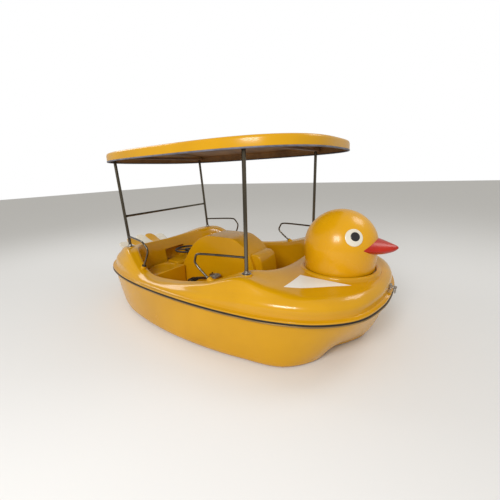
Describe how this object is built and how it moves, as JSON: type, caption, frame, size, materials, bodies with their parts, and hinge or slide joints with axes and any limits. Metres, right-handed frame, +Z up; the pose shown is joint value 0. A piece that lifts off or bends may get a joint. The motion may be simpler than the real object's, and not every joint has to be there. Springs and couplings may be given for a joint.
{
  "type": "pedal boat",
  "caption": "Fibreglass pedal boat shaped like a duck, with a rigid canopy on posts, a central paddle wheel, pedals, a steering wheel and a rudder.",
  "frame": {"origin": "middle of the plan outline, on the surface that the keel strips stand on", "axes": "+X towards the bow, +Y to port, +Z up"},
  "size_m": [3.543, 2.0056, 1.782],
  "materials": {
    "gelcoat_yellow": "gloss",
    "sole_amber": "satin",
    "gasket_black": "matte",
    "rub_strip": "satin",
    "stainless": "brushed",
    "galvanised": "satin",
    "black_plastic": "matte",
    "grey_plastic": "matte",
    "white_gelcoat": "gloss",
    "red_gelcoat": "gloss",
    "black_gelcoat": "gloss",
    "grey_trim": "matte",
    "beam_wood": "matte",
    "keel_rubber": "matte"
  },
  "bodies": {
    "hull": {"hull_shell": "gelcoat_yellow", "deck_shell": "gelcoat_yellow", "cockpit_sole": "sole_amber", "gunwale_gasket": "gasket_black", "rub_strip": "rub_strip", "wheel_cover": "gelcoat_yellow", "front_console": "gelcoat_yellow", "rear_console": "gelcoat_yellow", "rear_crossbar": "stainless", "canopy_roof": "gelcoat_yellow", "canopy_trim": "grey_trim", "canopy_beam_front": "beam_wood", "canopy_beam_rear": "beam_wood", "column_bush": "black_plastic", "steering_cable": "stainless", "rudder_bush": "black_plastic", "duck_head": "gelcoat_yellow", "beak": "red_gelcoat", "duck_tail": "white_gelcoat", "mooring_eye": "stainless", "rear_seat_port": "gelcoat_yellow", "front_seat_port": "gelcoat_yellow", "shaft_bearing_port": "black_plastic", "eye_white_port": "white_gelcoat", "pupil_port": "black_gelcoat", "keel_strip_port": "keel_rubber", "drain_plug_port": "black_plastic", "post_front_port": "stainless", "post_base_front_port": "stainless", "handrail_front_port": "stainless", "post_rear_port": "stainless", "post_base_rear_port": "stainless", "handrail_rear_port": "stainless", "rear_seat_starboard": "gelcoat_yellow", "front_seat_starboard": "gelcoat_yellow", "shaft_bearing_starboard": "black_plastic", "eye_white_starboard": "white_gelcoat", "pupil_starboard": "black_gelcoat", "keel_strip_starboard": "keel_rubber", "drain_plug_starboard": "black_plastic", "post_front_starboard": "stainless", "post_base_front_starboard": "stainless", "handrail_front_starboard": "stainless", "post_rear_starboard": "stainless", "post_base_rear_starboard": "stainless", "handrail_rear_starboard": "stainless"},
    "paddle": {"paddle_wheel": "galvanised", "pedal_crankshaft": "stainless"},
    "steering": {"steering_wheel": "black_plastic", "steering_column": "stainless", "helm_drum": "black_plastic"},
    "rudder": {"rudder_stock": "stainless", "rudder_blade": "gelcoat_yellow", "rudder_drum": "black_plastic"},
    "mooring_ring": {"mooring_ring": "stainless"},
    "pedal_inner_port": {"pedal_inner_port": "grey_plastic"},
    "pedal_outer_port": {"pedal_outer_port": "black_plastic"},
    "pedal_inner_starboard": {"pedal_inner_starboard": "grey_plastic"},
    "pedal_outer_starboard": {"pedal_outer_starboard": "black_plastic"}
  },
  "joints": [
    {"name": "paddle_spin", "type": "hinge", "parent": "hull", "child": "paddle", "pos_m": [-0.1115, 0, 0.37], "axis": [0, 1, 0], "continuous": true},
    {"name": "pedal_inner_port_spin", "type": "hinge", "parent": "paddle", "child": "pedal_inner_port", "pos_m": [-0.08551, 0.285, 0.24773], "axis": [0, 1, 0], "continuous": true},
    {"name": "pedal_outer_port_spin", "type": "hinge", "parent": "paddle", "child": "pedal_outer_port", "pos_m": [-0.13749, 0.391, 0.49227], "axis": [0, 1, 0], "continuous": true},
    {"name": "pedal_inner_starboard_spin", "type": "hinge", "parent": "paddle", "child": "pedal_inner_starboard", "pos_m": [0.01077, -0.285, 0.39599], "axis": [0, 1, 0], "continuous": true},
    {"name": "pedal_outer_starboard_spin", "type": "hinge", "parent": "paddle", "child": "pedal_outer_starboard", "pos_m": [-0.23377, -0.391, 0.34401], "axis": [0, 1, 0], "continuous": true},
    {"name": "steering_turn", "type": "hinge", "parent": "hull", "child": "steering", "pos_m": [-0.7065, 0, 0.55], "axis": [0, 0, 1], "range_deg": [-80, 80]},
    {"name": "rudder_turn", "type": "hinge", "parent": "hull", "child": "rudder", "pos_m": [-1.2415, 0, 0.318], "axis": [0, 0, 1], "range_deg": [-41, 41]},
    {"name": "mooring_ring_swing", "type": "hinge", "parent": "hull", "child": "mooring_ring", "pos_m": [1.7605, 0, 0.522], "axis": [0, 1, 0], "range_deg": [-170, 10]}
  ],
  "couplings": [
    {"joint": "rudder_turn", "follows": "steering_turn", "ratio": -0.5}
  ]
}
